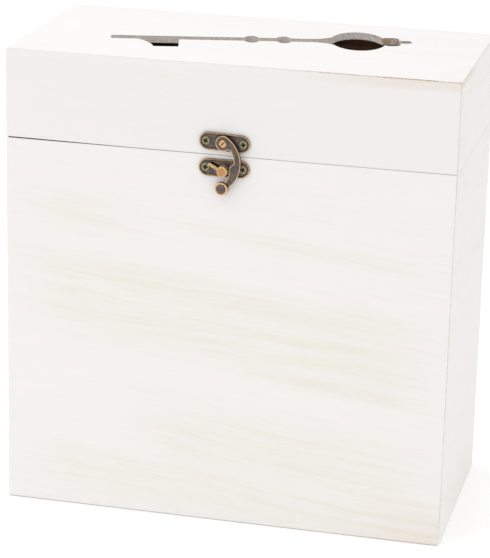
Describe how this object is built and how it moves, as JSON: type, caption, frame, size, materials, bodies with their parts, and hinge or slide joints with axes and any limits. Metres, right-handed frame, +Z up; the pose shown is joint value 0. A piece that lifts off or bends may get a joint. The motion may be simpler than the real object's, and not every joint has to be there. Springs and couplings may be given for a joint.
{
  "type": "wedding card box",
  "caption": "Whitewashed wooden card box with a hinged lid, a key-shaped card slot in the lid top and a swing-hook clasp.",
  "frame": {"origin": "middle of the wooden box's underside, on the surface it stands on", "axes": "+Z up, -Y out of the front face with the clasp, +X to the right seen from the front"},
  "size_m": [0.254, 0.1363, 0.267],
  "materials": {
    "whitewashed_wood": "thin white wash over light wood, matt",
    "antique_brass": "antique bronze plating, dark in the hollows and worn golden on the rims",
    "dark_screw": "dark bronze plating",
    "copper_rivet": "worn coppery bronze"
  },
  "bodies": {
    "box_body": {"body_front_board": "whitewashed_wood", "body_back_board": "whitewashed_wood", "body_left_board": "whitewashed_wood", "body_right_board": "whitewashed_wood", "bottom_panel": "whitewashed_wood", "clasp_lower_plate": "antique_brass", "catch_stud": "antique_brass", "clasp_lower_screws": "dark_screw", "left_hinge_body_leaf": "antique_brass", "left_hinge_pin": "antique_brass", "left_hinge_body_screws": "dark_screw", "right_hinge_body_leaf": "antique_brass", "right_hinge_pin": "antique_brass", "right_hinge_body_screws": "dark_screw"},
    "lid": {"lid_top_panel": "whitewashed_wood", "lid_front_board": "whitewashed_wood", "lid_back_board": "whitewashed_wood", "lid_left_board": "whitewashed_wood", "lid_right_board": "whitewashed_wood", "clasp_upper_plate": "antique_brass", "pivot_rivet": "copper_rivet", "clasp_upper_screws": "dark_screw", "left_hinge_lid_leaf": "antique_brass", "left_hinge_lid_screws": "dark_screw", "right_hinge_lid_leaf": "antique_brass", "right_hinge_lid_screws": "dark_screw"},
    "swing_hook": {"swing_hook": "antique_brass"}
  },
  "joints": [
    {"name": "lid_hinge", "type": "hinge", "parent": "box_body", "child": "lid", "pos_m": [0, 0.0655, 0.21615], "axis": [-1, 0, 0], "range_deg": [0, 180]},
    {"name": "hook_swing", "type": "hinge", "parent": "lid", "child": "swing_hook", "pos_m": [-0.0017, -0.0663, 0.2238], "axis": [0, -1, 0], "range_deg": [0, 180]}
  ]
}
